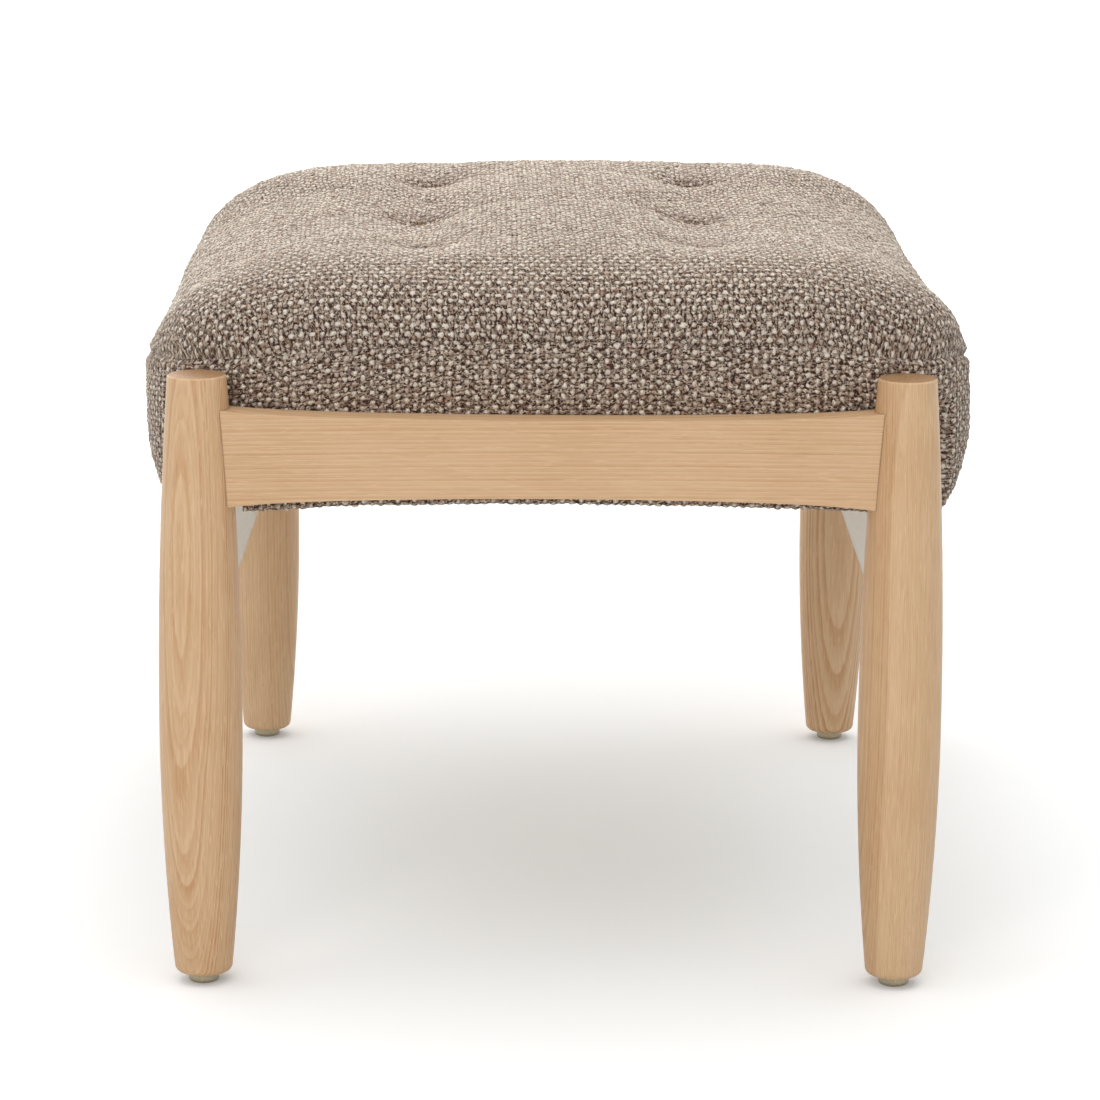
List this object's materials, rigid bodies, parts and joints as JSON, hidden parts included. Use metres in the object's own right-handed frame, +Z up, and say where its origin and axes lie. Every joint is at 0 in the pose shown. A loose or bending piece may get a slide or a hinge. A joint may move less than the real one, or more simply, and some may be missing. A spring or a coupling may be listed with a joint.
{
  "type": "ottoman",
  "caption": "Upholstered footstool on turned ash legs, with bowed show rails between the legs and a tufted woven seat.",
  "frame": {"origin": "on the floor under the middle of the footstool", "axes": "+Z up, +Y along the length from the front show rail to the rear one, +X to the right seen from the front"},
  "size_m": [0.504, 0.635, 0.45],
  "materials": {
    "ash": "clear matt lacquer on ash",
    "beech": "sanded",
    "plywood": "sawn",
    "boucle": "chunky woven boucle",
    "canvas": "plain weave",
    "wadding": "polyester fibre",
    "foam": "open cell",
    "jute": "coarse weave",
    "webbing": "woven elastic webbing",
    "nickel": "nickel plated steel",
    "steel": "zinc plated"
  },
  "bodies": {
    "root": {"front_left_leg": "ash", "front_right_leg": "ash", "rear_left_leg": "ash", "rear_right_leg": "ash", "front_rail": "ash", "rear_rail": "ash", "rail_dowels": "beech", "left_side_rail": "beech", "right_side_rail": "beech", "side_rail_dowels": "beech", "front_end_board": "plywood", "rear_end_board": "plywood", "front_left_block": "plywood", "front_right_block": "plywood", "rear_left_block": "plywood", "rear_right_block": "plywood", "block_screws": "steel", "cross_strap_1": "webbing", "cross_strap_2": "webbing", "cross_strap_3": "webbing", "cross_strap_4": "webbing", "long_strap_1": "webbing", "long_strap_2": "webbing", "long_strap_3": "webbing", "long_strap_4": "webbing", "support_cloth": "jute", "foam_block": "foam", "wadding": "wadding", "seat_cover": "boucle", "tuft_twines": "jute", "tuft_toggles": "beech", "left_lining": "canvas", "right_lining": "canvas", "dust_cover": "canvas", "front_left_glide": "nickel", "front_right_glide": "nickel", "rear_left_glide": "nickel", "rear_right_glide": "nickel", "glide_nails": "steel"}
  },
  "joints": []
}
